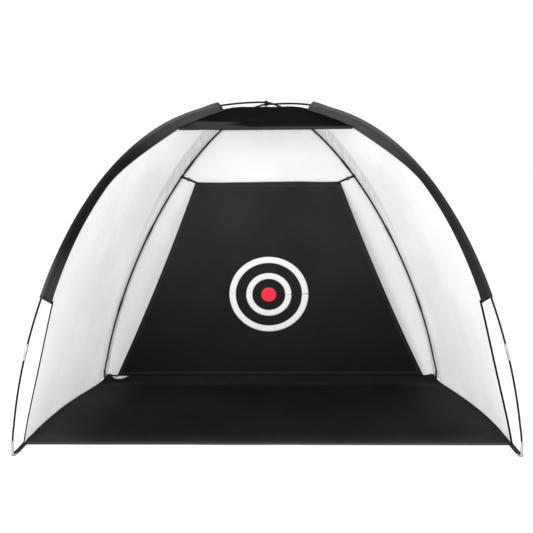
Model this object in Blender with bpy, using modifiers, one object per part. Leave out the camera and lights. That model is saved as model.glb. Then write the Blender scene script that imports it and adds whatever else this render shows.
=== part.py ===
"""Golf chipping net: two crossing poles, a fabric shell and a target sheet that swings on its top straps.

Metres, +Z up. X runs across the net, the open front faces -Y, and the net stands on Z = 0.
"""

import math

import bmesh
import bpy
from mathutils import Matrix, Vector

# Where the poles stand and cross
FRONT_FOOT_X = 1.0
REAR_FOOT_X = 0.86
FOOT_Y = 0.5
CROSS_Y = 0.06
CROSS_Z = 1.39
REAR_BOW = 0.055  # how far the rear halves bow to the back

# The bend of each half: height = CROSS_Z * (1 - u**rise) ** fall, u from the crossing to the foot
FRONT_RISE, FRONT_FALL = 2.53, 1 / 1.57
REAR_RISE, REAR_FALL = 1.53, 1 / 1.44

# Poles
POLE_R = 0.004
FERRULE_R = 0.0055
FERRULE_LENGTH = 0.067
SECTIONS = 9
CROSS_LIFT = POLE_R + 0.0004  # each pole's centre lies this far above or below the crossing
CROSS_REACH = 0.12
POINTS_PER_SECTION = 7
GAP = 0.0003
SECTION_GAP = 0.0006

# Feet: a turned tip on the pole, and a ring with a pin that goes up into it
TIP_BOTTOM_Z = 0.005
TIP_TOP_Z = 0.0602
TIP_R = 0.0052
TIP_BORE_R = 0.0022
TIP_BORE_TOP_Z = 0.026
RING_R = 0.0095
RING_WIRE_R = 0.0014
RING_RISE = 0.0022  # the strap lifts the ring's far side
PIN_R = 0.0016
PIN_TOP_Z = 0.022

# Fabric shell
CLOTH = 0.001
SHELL_TOP_Z = 1.278
SIDE_BULGE = 0.045  # the floor's long sides bow outwards
BULGE_TOP_Z = 0.6
EDGE_V = 0.13  # the net's front edge at the floor, as a share of the way from the front pole to the rear pole
NET_GAP = 0.0098  # between the net and its edge, as a share of the same way
BINDING_R = 0.003
SLEEVE_TOP_U = 0.19
SLEEVE_BOTTOM_U = 0.877
SLEEVE_R = 0.0078
SLEEVE_CLOTH = 0.0012
SLEEVE_LOW_Z = 0.62
SLEEVE_LOW_V, SLEEVE_MIDDLE_V, SLEEVE_ROOF_V = 0.118, 0.107, 0.307  # its inner edge, as such a share
SLEEVE_NARROWS_Z, SLEEVE_WIDENS_Z = (0.56, 0.94), (1.05, 1.31)
REAR_SLEEVE_R = 0.0088
REAR_SLEEVE_SIDE = 0.06
REAR_SLEEVE_BACK = 0.016
REAR_SLEEVE_TOP_Z = 1.25

# Roof
ROOF_EDGE_Z = 1.284
ROOF_RISE = 0.091
ROOF_FULLNESS, ROOF_FRONT_FULLNESS = 1.35, 1.1
ROOF_FRONT = Vector((0.35, -0.087, ROOF_EDGE_Z))
ROOF_REAR = Vector((0.184, 0.166, ROOF_EDGE_Z))
HEM = 0.012

# Floor
FLOOR_REAR_V = 0.955
FLOOR_BACK = 0.036  # the floor runs this much further back between its rear corners
FLOOR_INSET = 0.004
WEBBING = 0.015
WEBBING_THICK = 0.0012

# Target sheet
TARGET_TOP = Vector((0.345, 0.325, 1.036))
TARGET_BOTTOM = Vector((0.79, 0.472, 0.034))
TARGET_HOLLOW = 0.012  # its long edges curve in by this much
MARK_CENTRE_Z = 0.471
MARK_THICK = 0.001
OUTER_RING = (0.165, 0.197)
INNER_RING = (0.082, 0.113)
BULLSEYE_R = 0.0375

# Target straps
HANGER_Z = 1.063
STRAP_WIDTH = 0.010
STRAP_THICK = 0.0024
STRAP_START = 0.0115  # a strap starts this far from the pole's centre
ADJUSTER = Vector((0.012, 0.0165, 0.0064))
ADJUSTER_WALL = 0.0014
ADJUSTER_AT = 0.033  # from the pole's centre, along the strap
HOOK_R = 0.0078  # the lower straps' hooks run this far from the pole tip's centre
HOOK_WIRE_R = 0.0012
COLLAR_R = 0.0056
COLLAR_WALL = 0.0014
COLLAR_HEIGHT = 0.011

SIDES = (("left", -1), ("right", 1))


def clear_scene():
    for thing in list(bpy.data.objects):
        bpy.data.objects.remove(thing, do_unlink=True)


clear_scene()
parts = bpy.data.collections.new("golf_chipping_net")
cutters = bpy.data.collections.new("cutters")
for group in (parts, cutters):
    bpy.context.scene.collection.children.link(group)


# ---------------------------------------------------------------- materials


def material(name, colour, roughness, metallic=0.0):
    made = bpy.data.materials.new(name)
    made.use_nodes = True
    shader = made.node_tree.nodes["Principled BSDF"]
    shader.inputs["Base Color"].default_value = (*colour, 1)
    shader.inputs["Roughness"].default_value = roughness
    shader.inputs["Metallic"].default_value = metallic
    return made


def fibreglass(name):
    return material(f"{name}_fibreglass", (0.03, 0.03, 0.032), 0.4)


def metal(name):
    return material(f"{name}_metal", (0.62, 0.62, 0.6), 0.3, 1.0)


def black_cloth(name):
    return material(f"{name}_black_cloth", (0.02, 0.02, 0.021), 0.85)


def white_mesh(name):
    return material(f"{name}_white_mesh", (0.8, 0.8, 0.8), 0.9)


def webbing(name):
    return material(f"{name}_webbing", (0.015, 0.015, 0.015), 0.8)


def plastic(name):
    return material(f"{name}_plastic", (0.02, 0.02, 0.02), 0.45)


# ---------------------------------------------------------------- making objects


def add(name, data, finish, group=parts):
    made = bpy.data.objects.new(name, data)
    group.objects.link(made)
    if finish is not None:
        data.materials.append(finish(name))
    return made


def from_bmesh(name, bm, finish, group=parts):
    mesh = bpy.data.meshes.new(name)
    bm.to_mesh(mesh)
    bm.free()
    return add(name, mesh, finish, group)


def tube(name, points, radius, finish, radii=None):
    """A round bar along points; radii scales its radius at each of them."""
    curve = bpy.data.curves.new(name, "CURVE")
    curve.dimensions = "3D"
    curve.bevel_depth = radius
    curve.bevel_resolution = 2
    curve.use_fill_caps = True
    spline = curve.splines.new("POLY")
    spline.points.add(len(points) - 1)
    for i, place in enumerate(points):
        spline.points[i].co = (*place, 1)
        spline.points[i].radius = radii[i] if radii else 1
    return add(name, curve, finish)


def outline(name, loops, half_thickness, finish, group=parts):
    """A flat plate in its own XY plane; loops after the first are holes."""
    curve = bpy.data.curves.new(name, "CURVE")
    curve.dimensions = "2D"
    curve.fill_mode = "BOTH"
    curve.extrude = half_thickness
    for loop in loops:
        spline = curve.splines.new("POLY")
        spline.points.add(len(loop) - 1)
        for i, (x, y) in enumerate(loop):
            spline.points[i].co = (x, y, 0, 1)
        spline.use_cyclic_u = True
    return add(name, curve, finish, group)


def as_mesh(made):
    """Turns a curve or modified object into a plain mesh object, with its loose caps welded."""
    evaluated = made.evaluated_get(bpy.context.evaluated_depsgraph_get())
    mesh = bpy.data.meshes.new_from_object(evaluated)
    name, place, group = made.name, made.matrix_world.copy(), made.users_collection[0]
    bpy.data.objects.remove(made, do_unlink=True)
    bm = bmesh.new()
    bm.from_mesh(mesh)
    bmesh.ops.remove_doubles(bm, verts=bm.verts, dist=0.00001)
    bm.to_mesh(mesh)
    bm.free()
    mesh.name = name
    plain = add(name, mesh, None, group)
    plain.matrix_world = place
    return plain


def circle(radius, steps):
    return [
        (radius * math.cos(2 * math.pi * i / steps), radius * math.sin(2 * math.pi * i / steps))
        for i in range(steps)
    ]


def block(name, size, finish, group=parts, bevel=0.0):
    bm = bmesh.new()
    bmesh.ops.create_cube(bm, size=1, matrix=Matrix.Diagonal((*size, 1)))
    made = from_bmesh(name, bm, finish, group)
    if bevel:
        round_edges(made, bevel)
    return made


def round_edges(made, width):
    bevel = made.modifiers.new("rounded", "BEVEL")
    bevel.width = width
    bevel.segments = 1


def cut(made, cutter, operation="DIFFERENCE"):
    boolean = made.modifiers.new(cutter.name, "BOOLEAN")
    boolean.object = cutter
    boolean.operation = operation
    boolean.solver = "EXACT"
    cutter.hide_render = True
    cutter.display_type = "WIRE"


def panel(name, across, along, surface, finish, thickness=CLOTH):
    """A sheet of cloth: a grid laid on surface(a, b), a and b from 0 to 1, and given its thickness."""
    bm = bmesh.new()
    bmesh.ops.create_grid(bm, x_segments=across, y_segments=along, size=0.5)
    for vertex in bm.verts:
        vertex.co = surface(vertex.co.x + 0.5, vertex.co.y + 0.5)
    made = from_bmesh(name, bm, finish)
    solid = made.modifiers.new("thickness", "SOLIDIFY")
    solid.thickness = thickness
    solid.offset = 0
    return made


def loft(name, sections, finish):
    """Joins closed sections of the same number of points, one after the other, and caps both ends."""
    bm = bmesh.new()
    rings = [[bm.verts.new(place) for place in section] for section in sections]
    for low, high in zip(rings, rings[1:]):
        for i in range(len(low)):
            j = (i + 1) % len(low)
            bm.faces.new((low[i], low[j], high[j], high[i]))
    bm.faces.new(rings[0])
    bm.faces.new(rings[-1])
    bmesh.ops.recalc_face_normals(bm, faces=bm.faces)
    return from_bmesh(name, bm, finish)


def turned(name, profile, finish, steps=16):
    """A turned solid about its own Z axis; the profile is (radius, height) pairs, top to bottom."""
    mesh = bpy.data.meshes.new(name)
    edges = [(i, i + 1) for i in range(len(profile) - 1)]
    mesh.from_pydata([(x, 0, z) for x, z in profile], edges, [])
    made = add(name, mesh, finish)
    screw = made.modifiers.new("turned", "SCREW")
    screw.steps = screw.render_steps = steps
    screw.use_merge_vertices = True
    screw.merge_threshold = 0.00001
    return made


def frame_at(place, along, across):
    """A matrix at place with X along, Y as near across as it can be, and Z square to both."""
    x = along.normalized()
    z = x.cross(across).normalized()
    y = z.cross(x)
    return Matrix.Translation(place) @ Matrix((x, y, z)).transposed().to_4x4()


# ---------------------------------------------------------------- where the poles and the shell run


def front_pole(u, side):
    height = CROSS_Z * (1 - u**FRONT_RISE) ** FRONT_FALL
    return Vector((side * FRONT_FOOT_X * u, CROSS_Y - (FOOT_Y + CROSS_Y) * u, height))


def rear_pole(u, side):
    height = CROSS_Z * (1 - u**REAR_RISE) ** REAR_FALL
    bow = REAR_BOW * 6.75 * u * u * (1 - u)  # 6.75 makes the largest value 1
    return Vector((side * REAR_FOOT_X * u, CROSS_Y + (FOOT_Y - CROSS_Y) * u + bow, height))


def front_u(z):
    return (1 - (z / CROSS_Z) ** (1 / FRONT_FALL)) ** (1 / FRONT_RISE)


def rear_u(z):
    return (1 - (z / CROSS_Z) ** (1 / REAR_FALL)) ** (1 / REAR_RISE)


def shell_side(z, v, side):
    """The side of the shell at height z, v from 0 at the front pole to 1 at the rear pole."""
    place = front_pole(front_u(z), side).lerp(rear_pole(rear_u(z), side), v)
    low = max(0, 1 - z / BULGE_TOP_Z)
    place.x += side * SIDE_BULGE * low * low * math.sin(math.pi * v)
    return place


def ease(z, start, end):
    """A smooth step from 0 at the height start to 1 at the height end."""
    share = min(1, max(0, (z - start) / (end - start)))
    return share * share * (3 - 2 * share)


def sleeve_v(z):
    """Where the front sleeve's inner edge lies on the side of the shell."""
    narrower = (SLEEVE_MIDDLE_V - SLEEVE_LOW_V) * ease(z, *SLEEVE_NARROWS_Z)
    wider = (SLEEVE_ROOF_V - SLEEVE_MIDDLE_V) * ease(z, *SLEEVE_WIDENS_Z)
    return SLEEVE_LOW_V + narrower + wider


def net_edge_v(z):
    """Where the net's front edge lies: on a straight line up to the sleeve, then along the sleeve."""
    if z > SLEEVE_LOW_Z:
        return sleeve_v(z)
    return EDGE_V + (sleeve_v(SLEEVE_LOW_Z) - EDGE_V) * z / SLEEVE_LOW_Z


def sine_steps(count):
    return [math.sin(math.pi / 2 * i / count) for i in range(count + 1)]


def pole_path(front_side, lift):
    """Close points along a whole pole, from its front foot over the crossing to its rear foot."""
    steps = sine_steps(600)
    points = [front_pole(u, front_side) for u in reversed(steps)]
    points += [rear_pole(u, -front_side) for u in steps[1:]]
    front, rear = points[0].copy(), points[-1].copy()
    for place in points:
        away = math.hypot(place.x, place.y - CROSS_Y)
        place.z += lift * math.exp(-((away / CROSS_REACH) ** 2))
        foot = front if place.y < CROSS_Y else rear
        upright = max(0, 1 - place.z / (2 * TIP_TOP_Z))
        place.x += (foot.x - place.x) * upright
        place.y += (foot.y - place.y) * upright
    return points


def run_lengths(points):
    runs = [0.0]
    for a, b in zip(points, points[1:]):
        runs.append(runs[-1] + (b - a).length)
    return runs


def along_path(points, runs, distance):
    i = 1
    while runs[i] < distance and i < len(runs) - 1:
        i += 1
    share = (distance - runs[i - 1]) / (runs[i] - runs[i - 1])
    return points[i - 1].lerp(points[i], share)


# ---------------------------------------------------------------- poles


def pole_sections(letter, front_side, lift):
    """Nine sections; each but the last carries the ferrule that takes the next one."""
    points = pole_path(front_side, lift)
    runs = run_lengths(points)
    pitch = runs[-1] / SECTIONS
    half = FERRULE_LENGTH / 2
    tip_run = next(run for place, run in zip(points, runs) if place.z > TIP_TOP_Z + GAP)
    for i in range(SECTIONS):
        start = tip_run if i == 0 else i * pitch + half + SECTION_GAP
        last = i == SECTIONS - 1
        end = runs[-1] - tip_run if last else (i + 1) * pitch - half
        spots = [start + (end - start) * k / POINTS_PER_SECTION for k in range(POINTS_PER_SECTION + 1)]
        radii = [1] * len(spots)
        if not last:
            spots += [end + GAP, (i + 1) * pitch, end + FERRULE_LENGTH]
            radii += [FERRULE_R / POLE_R] * 3
        line = [along_path(points, runs, spot) for spot in spots]
        tube(f"pole_{letter}_section_{i + 1}", line, POLE_R, fibreglass, radii)


def pole_tip(name, foot):
    profile = [
        (0, TIP_TOP_Z),
        (TIP_R - 0.0004, TIP_TOP_Z),
        (TIP_R, TIP_TOP_Z - 0.001),
        (TIP_R, TIP_BOTTOM_Z + 0.004),
        (TIP_R - 0.001, TIP_BOTTOM_Z),
        (TIP_BORE_R, TIP_BOTTOM_Z),
        (TIP_BORE_R, TIP_BORE_TOP_Z),
        (0, TIP_BORE_TOP_Z),
    ]
    turned(name, profile, metal).location = foot


def foot_ring(name, foot, towards):
    """A wire ring with a pin, its origin on the pin; the ring lies towards the floor's corner."""
    bpy.ops.mesh.primitive_torus_add(
        major_segments=20, minor_segments=8, major_radius=RING_R, minor_radius=RING_WIRE_R
    )
    ring = bpy.context.object
    for group in list(ring.users_collection):
        group.objects.unlink(ring)
    parts.objects.link(ring)
    ring.name = ring.data.name = name
    slope = math.atan2(RING_RISE, 2 * RING_R)
    ring.data.transform(
        Matrix.Translation((0, 0, RING_WIRE_R))
        @ Matrix.Rotation(-slope, 4, "Y")
        @ Matrix.Translation((RING_R, 0, 0))
    )
    bm = bmesh.new()
    bmesh.ops.create_cone(
        bm,
        cap_ends=True,
        segments=10,
        radius1=PIN_R,
        radius2=PIN_R,
        depth=PIN_TOP_Z - RING_WIRE_R,
        matrix=Matrix.Translation((0, 0, (PIN_TOP_Z + RING_WIRE_R) / 2)),
    )
    pin = from_bmesh(f"{name}_pin", bm, None, cutters)
    cut(ring, pin, "UNION")
    turn = Matrix.Rotation(math.atan2(towards.y, towards.x), 4, "Z")
    for thing in (ring, pin):
        thing.matrix_world = Matrix.Translation(foot) @ turn
    ring.data.materials.append(metal(name))


def crossing_tie():
    """A webbing band round both poles where they cross."""
    half_y, half_z, wall, corner = 0.0082, 2 * POLE_R + 0.0022, 0.0012, 0.003
    loops = []
    for grow in (wall, 0):
        loop = []
        for step in range(4):
            for part in (0, 45, 90):
                turn = math.radians(90 * step + part)
                centre_y = (half_y - corner) * (1 if step in (0, 3) else -1)
                centre_z = (half_z - corner) * (1 if step in (0, 1) else -1)
                reach = corner + grow
                loop.append((centre_y + reach * math.cos(turn), centre_z + reach * math.sin(turn)))
        loops.append(loop)
    tie = outline("crossing_tie", loops, 0.005, webbing)
    tie.matrix_world = frame_at(Vector((0, CROSS_Y, CROSS_Z)), Vector((0, 1, 0)), Vector((0, 0, 1)))


def build_poles():
    pole_sections("a", -1, CROSS_LIFT)
    pole_sections("b", 1, -CROSS_LIFT)
    crossing_tie()


# ---------------------------------------------------------------- feet


def floor_corner(end, side):
    v = EDGE_V if end == "front" else FLOOR_REAR_V
    place = shell_side(0, v, side)
    place.x -= side * FLOOR_INSET
    return place


def corner_strap(name, foot, corner):
    """Webbing from the floor's corner, ending in an eye round the foot ring's far side."""
    reach = (corner - foot).length - 0.004
    far = 2 * RING_R
    eye_in, eye_out, eye_top = far - 0.004, far + 0.0047, 0.0064
    thick = WEBBING_THICK
    outer = [
        (eye_in - thick, 0),
        (reach, 0),
        (reach, thick),
        (eye_out + 0.006, thick),
        (eye_out + 0.001, eye_top * 0.75),
        (eye_out - 0.001, eye_top + thick),
        (eye_in, eye_top + thick),
        (eye_in - thick, eye_top),
    ]
    hole = [(eye_in, thick), (eye_out, thick), (eye_out - 0.001, eye_top), (eye_in, eye_top)]
    strap = outline(name, (outer, hole), 0.003, webbing)
    strap = as_mesh(strap)
    for vertex in strap.data.vertices:
        if vertex.co.x > eye_out + 0.002:
            vertex.co.z *= WEBBING / 2 / 0.003 * min(1, reach / 0.08 + 0.35)
    strap.matrix_world = frame_at(foot, corner - foot, Vector((0, 0, 1)))


def build_feet():
    for end, y, x in (("front", -FOOT_Y, FRONT_FOOT_X), ("rear", FOOT_Y, REAR_FOOT_X)):
        for label, side in SIDES:
            foot = Vector((side * x, y, 0))
            corner = floor_corner(end, side)
            pole_tip(f"pole_tip_{end}_{label}", foot)
            foot_ring(f"foot_ring_{end}_{label}", foot, corner - foot)
            corner_strap(f"corner_strap_{end}_{label}", foot, corner)


# ---------------------------------------------------------------- fabric shell


def sleeve_inner_edge(u, side):
    """The inner edge of the front sleeve beside the pole's point u."""
    z = front_pole(u, side).z
    top = Vector((side * 0.175, -0.03, ROOF_EDGE_Z + 0.064))
    bend_z = ROOF_EDGE_Z + 0.002
    if z < bend_z:
        return shell_side(z - 0.03 * max(0, 1 - (z - SLEEVE_LOW_Z) / 0.5), sleeve_v(z), side)
    bend = shell_side(bend_z, sleeve_v(bend_z), side) + Vector((0, 0, 0.008))
    bend_u = front_u(bend_z)
    return top.lerp(bend, (u - SLEEVE_TOP_U) / (bend_u - SLEEVE_TOP_U))


def front_sleeve(name, side):
    """A flat band sewn into a tunnel round the pole; the tunnel's seam stays a little open."""
    stations, turns = 30, 9
    inner_r, outer_r, half = SLEEVE_R - SLEEVE_CLOTH / 2, SLEEVE_R + SLEEVE_CLOTH / 2, SLEEVE_CLOTH / 2
    sections = []
    for i in range(stations + 1):
        u = SLEEVE_TOP_U + (SLEEVE_BOTTOM_U - SLEEVE_TOP_U) * i / stations
        centre = front_pole(u, side)
        tangent = (front_pole(u + 0.004, side) - front_pole(u - 0.004, side)).normalized()
        inwards = sleeve_inner_edge(u, side) - centre
        slant = tangent * inwards.dot(tangent)
        inwards -= slant
        width = inwards.length
        inwards.normalize()
        up = inwards.cross(tangent) * -side
        angles = [math.radians(8 + 312 * k / turns) for k in range(turns + 1)]
        flat = [(width, half)]
        flat += [(outer_r * math.cos(t), outer_r * math.sin(t)) for t in angles]
        flat += [(inner_r * math.cos(t), inner_r * math.sin(t)) for t in reversed(angles[1:])]
        flat += [(inner_r, -half), (width, -half)]
        sections.append([centre + inwards * a + up * b + slant * (a / width) for a, b in flat])
    loft(name, sections, black_cloth)


def rear_sleeve(name, side):
    """A strip of doubled mesh that wraps the outside of the rear pole, from the back to the side."""
    stations = 20
    sections = []
    top_u = rear_u(REAR_SLEEVE_TOP_Z)
    bottom_u = rear_u(0.07)
    for i in range(stations + 1):
        u = top_u + (bottom_u - top_u) * i / stations
        centre = rear_pole(u, side)
        tangent = (rear_pole(u + 0.002, side) - rear_pole(u - 0.002, side)).normalized()
        to_back = square_to(tangent, Vector((-side, 0, 0)))
        to_side = square_to(tangent, shell_side(centre.z, 0.9, side) - shell_side(centre.z, 1, side))
        back_out = tangent.cross(to_back)
        back_out *= 1 if back_out.y > 0 else -1
        side_out = tangent.cross(to_side)
        side_out *= 1 if side_out.x * side > 0 else -1
        normals = [back_out.lerp(side_out, k / 3).normalized() for k in range(4)]
        line = [(back_out, to_back * REAR_SLEEVE_BACK)]
        line += [(normal, Vector()) for normal in normals]
        line += [(side_out, to_side * REAR_SLEEVE_SIDE)]
        half = SLEEVE_CLOTH / 2
        section = [centre + n * (REAR_SLEEVE_R + half) + shift for n, shift in line]
        section += [centre + n * (REAR_SLEEVE_R - half) + shift for n, shift in reversed(line)]
        sections.append(section)
    loft(name, sections, white_mesh)


def square_to(tangent, direction):
    return (direction - tangent * direction.dot(tangent)).normalized()


def side_net(name, side):
    """The net between the front edge and the rear sleeve, floor to roof."""

    def surface(a, b):
        z = 0.005 + (SHELL_TOP_Z - 0.005) * b
        front = net_edge_v(z) + NET_GAP
        width = (rear_pole(rear_u(z), side) - front_pole(front_u(z), side)).length
        rear = 1 - (REAR_SLEEVE_SIDE + 0.003) / width
        return shell_side(z, front + (rear - front) * a, side)

    panel(name, 8, 16, surface, white_mesh)


def back_net(name):
    def surface(a, b):
        z = 0.005 + (SHELL_TOP_Z - 0.012) * b
        edge = rear_pole(rear_u(z), 1)
        half = edge.x - REAR_SLEEVE_BACK - 0.006
        return Vector((half * (2 * a - 1), edge.y + REAR_SLEEVE_R, z))

    panel(name, 6, 14, surface, white_mesh)


def net_binding(name, side):
    """The bound front edge of a side net, from the sleeve to the floor."""
    count = 8
    heights = [0.012 + (SLEEVE_LOW_Z - 0.049) * i / count for i in range(count + 1)]
    tube(name, [shell_side(z, net_edge_v(z), side) for z in heights], BINDING_R, black_cloth)


def roof_panel():
    """A four-cornered cap under the poles that rises to the crossing."""
    middle_y = CROSS_Y
    middle_x = ROOF_FRONT.x + (ROOF_REAR.x - ROOF_FRONT.x) * (
        (middle_y - ROOF_FRONT.y) / (ROOF_REAR.y - ROOF_FRONT.y)
    )

    def surface(a, b):
        across, along = 2 * a - 1, 2 * b - 1
        end = ROOF_FRONT if along < 0 else ROOF_REAR
        half = middle_x + (end.x - middle_x) * abs(along)
        y = middle_y + (end.y - middle_y) * abs(along)
        out = max(abs(across), abs(along))
        fullness = ROOF_FULLNESS + ROOF_FRONT_FULLNESS * max(0, -along)
        return Vector((half * across, y, ROOF_EDGE_Z + ROOF_RISE * (1 - out**fullness)))

    panel("roof_panel", 8, 8, surface, black_cloth)


def header_hem():
    hem = block("header_hem", (2 * ROOF_FRONT.x - 0.02, 0.004, HEM), black_cloth, bevel=0.001)
    hem.location = (0, ROOF_FRONT.y - 0.0035, ROOF_EDGE_Z - 0.004)


def floor_sheet():
    def surface(a, b):
        across = 2 * a - 1
        edge = shell_side(0, EDGE_V + (FLOOR_REAR_V - EDGE_V) * b, 1)
        back = FLOOR_BACK * b**6 * (1 - across**8)
        return Vector(((edge.x - FLOOR_INSET) * across, edge.y + back, CLOTH / 2))

    panel("floor_sheet", 12, 10, surface, black_cloth)


def floor_front_hem():
    corner = floor_corner("front", 1)
    hem = block("floor_front_hem", (2 * corner.x - 0.05, HEM, 0.0034), black_cloth, bevel=0.0008)
    hem.location = (0, corner.y - HEM / 2 - GAP, 0.0017)


def build_shell():
    for label, side in SIDES:
        front_sleeve(f"front_sleeve_{label}", side)
        rear_sleeve(f"rear_sleeve_{label}", side)
        side_net(f"side_net_{label}", side)
        net_binding(f"net_binding_{label}", side)
    back_net("back_net")
    roof_panel()
    header_hem()
    floor_sheet()
    floor_front_hem()


# ---------------------------------------------------------------- target


def target_point(across, down):
    """On the sheet's middle surface: across from -1 to 1, down from 0 at the top to 1 at the bottom."""
    edge = TARGET_TOP.lerp(TARGET_BOTTOM, down)
    half = edge.x - TARGET_HOLLOW * 4 * down * (1 - down)
    return Vector((half * across, edge.y, edge.z))


def target_sheet():
    panel("target_sheet", 4, 8, lambda a, b: target_point(2 * a - 1, 1 - b), black_cloth)


def target_frame():
    """A frame on the sheet's front face at the middle of the rings: X across, Y up the sheet."""
    down = (TARGET_TOP.z - MARK_CENTRE_Z) / (TARGET_TOP.z - TARGET_BOTTOM.z)
    up = target_point(0, 0) - target_point(0, 1)
    frame = frame_at(target_point(0, down), Vector((1, 0, 0)), up)
    forward = CLOTH / 2 + GAP + MARK_THICK / 2
    return Matrix.Translation(frame.to_3x3() @ Vector((0, 0, forward))) @ frame


def target_marks():
    white = "sewn_ring"
    marks = (
        ("target_ring_outer", [circle(OUTER_RING[1], 48), circle(OUTER_RING[0], 48)], white),
        ("target_ring_inner", [circle(INNER_RING[1], 36), circle(INNER_RING[0], 36)], white),
        ("target_bullseye", [circle(BULLSEYE_R, 28)], "sewn_disc"),
    )
    for name, loops, kind in marks:
        colour = (0.8, 0.8, 0.8) if kind == white else (0.85, 0.03, 0.08)
        mark = outline(name, loops, MARK_THICK / 2, None)
        mark.data.materials.append(material(f"{name}_{kind}", colour, 0.8))
        mark.matrix_world = target_frame()


def strap_ends(level, side):
    """The pole's centre and the sheet's corner that a target strap joins."""
    if level == "upper":
        pole = rear_pole(rear_u(HANGER_Z), side)
        corner = target_point(side, 0)
    else:
        pole = Vector((side * REAR_FOOT_X, FOOT_Y, TARGET_BOTTOM.z - 0.003))
        corner = target_point(side, 1)
    return pole, corner


def target_strap(level, label, side):
    """Webbing from the sheet's corner towards the pole, in the plane of the sheet."""
    pole, corner = strap_ends(level, side)
    along = corner - pole
    length = along.length - STRAP_START - 0.0015
    strap = block(f"target_strap_{level}_{label}", (length, STRAP_WIDTH, STRAP_THICK), webbing)
    round_edges(strap, 0.0006)
    centre = pole + along.normalized() * (STRAP_START + length / 2)
    up = target_point(0, 0) - target_point(0, 1)
    strap.matrix_world = frame_at(centre, along, up)


def adjuster_shape():
    """A flat slider: a frame with a centre bar that the strap runs through."""
    long, wide, high = ADJUSTER
    body = block("adjuster", ADJUSTER, None, bevel=0.0008)
    slot = block("adjuster_slot", (2 * long, STRAP_WIDTH + 0.0014, high - 2 * ADJUSTER_WALL), None, cutters)
    cut(body, slot)
    window = (long - 2 * ADJUSTER_WALL - 0.0022) / 2
    for shift in (-1, 1):
        opening = block("adjuster_window", (window, STRAP_WIDTH + 0.0014, 2 * high), None, cutters)
        opening.location.x = shift * (window / 2 + 0.0011)
        cut(body, opening)
    bpy.context.view_layer.update()
    return as_mesh(body)


def strap_adjusters():
    shape = adjuster_shape()
    mesh = shape.data
    for level in ("upper", "lower"):
        for label, side in SIDES:
            pole, corner = strap_ends(level, side)
            along = (corner - pole).normalized()
            name = f"strap_adjuster_{level}_{label}"
            adjuster = add(name, mesh.copy(), plastic)
            up = target_point(0, 0) - target_point(0, 1)
            adjuster.matrix_world = frame_at(pole + along * ADJUSTER_AT, along, up)
    bpy.data.objects.remove(shape, do_unlink=True)


def strap_hook(name, side):
    """A wire hook on the end of a lower strap. It passes the front and the outside of the pole's tip and is
    open to the back, so that it comes off when the sheet swings forwards."""
    pole, corner = strap_ends("lower", side)
    along = (corner - pole).normalized()
    front = side * Vector((0, 0, 1)).cross(along)
    shank = STRAP_START - GAP
    turns = [0, 0, 25, 50] + [75 + 15 * k for k in range(12)]
    reaches = [shank, shank - 0.0012, shank - 0.002, shank - 0.0029] + [HOOK_R] * 12
    line = []
    for degrees, reach in zip(turns, reaches):
        turn = math.radians(degrees)
        line.append(pole + (along * math.cos(turn) + front * math.sin(turn)) * reach)
    tube(name, line, HOOK_WIRE_R, metal)


def strap_collar(name, side):
    """The webbing turn round the rear pole that an upper strap hangs from."""
    inner, outer, half = COLLAR_R, COLLAR_R + COLLAR_WALL, COLLAR_HEIGHT / 2
    profile = [(inner, half), (outer, half), (outer, -half), (inner, -half), (inner, half)]
    collar = turned(name, profile, webbing)
    u = rear_u(HANGER_Z)
    tangent = rear_pole(u - 0.01, side) - rear_pole(u + 0.01, side)
    turn = Vector((0, 0, 1)).rotation_difference(tangent).to_matrix().to_4x4()
    collar.matrix_world = Matrix.Translation(rear_pole(u, side)) @ turn


def build_target():
    target_sheet()
    target_marks()
    strap_adjusters()
    for label, side in SIDES:
        strap_collar(f"strap_collar_{label}", side)
        strap_hook(f"strap_hook_{label}", side)
        for level in ("upper", "lower"):
            target_strap(level, label, side)


build_poles()
build_feet()
build_shell()
build_target()
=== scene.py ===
"""The looks of the golf chipping net: cloth, mesh, webbing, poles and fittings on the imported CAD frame."""

import math

import bpy
from mathutils import Matrix, Vector, noise


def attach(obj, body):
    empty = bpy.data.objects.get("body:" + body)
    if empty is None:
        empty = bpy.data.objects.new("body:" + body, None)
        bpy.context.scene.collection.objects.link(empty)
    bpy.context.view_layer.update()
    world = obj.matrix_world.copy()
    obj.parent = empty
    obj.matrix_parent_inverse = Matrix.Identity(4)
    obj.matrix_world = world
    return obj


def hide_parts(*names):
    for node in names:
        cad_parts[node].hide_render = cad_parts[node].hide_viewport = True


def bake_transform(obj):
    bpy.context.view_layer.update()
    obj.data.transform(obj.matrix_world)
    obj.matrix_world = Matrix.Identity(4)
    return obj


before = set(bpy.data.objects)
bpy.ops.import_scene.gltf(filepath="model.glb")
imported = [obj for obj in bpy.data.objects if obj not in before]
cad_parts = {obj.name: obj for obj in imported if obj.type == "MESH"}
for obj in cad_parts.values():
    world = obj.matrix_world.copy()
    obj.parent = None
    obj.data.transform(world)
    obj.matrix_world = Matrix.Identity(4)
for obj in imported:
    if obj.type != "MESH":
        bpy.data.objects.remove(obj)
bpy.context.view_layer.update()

SIDES = (("left", -1), ("right", 1))
RIGHT, BACKWARDS, UP = Vector((1, 0, 0)), Vector((0, 1, 0)), Vector((0, 0, 1))

# -------------------- where the poles and the shell run, as in the CAD

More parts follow.
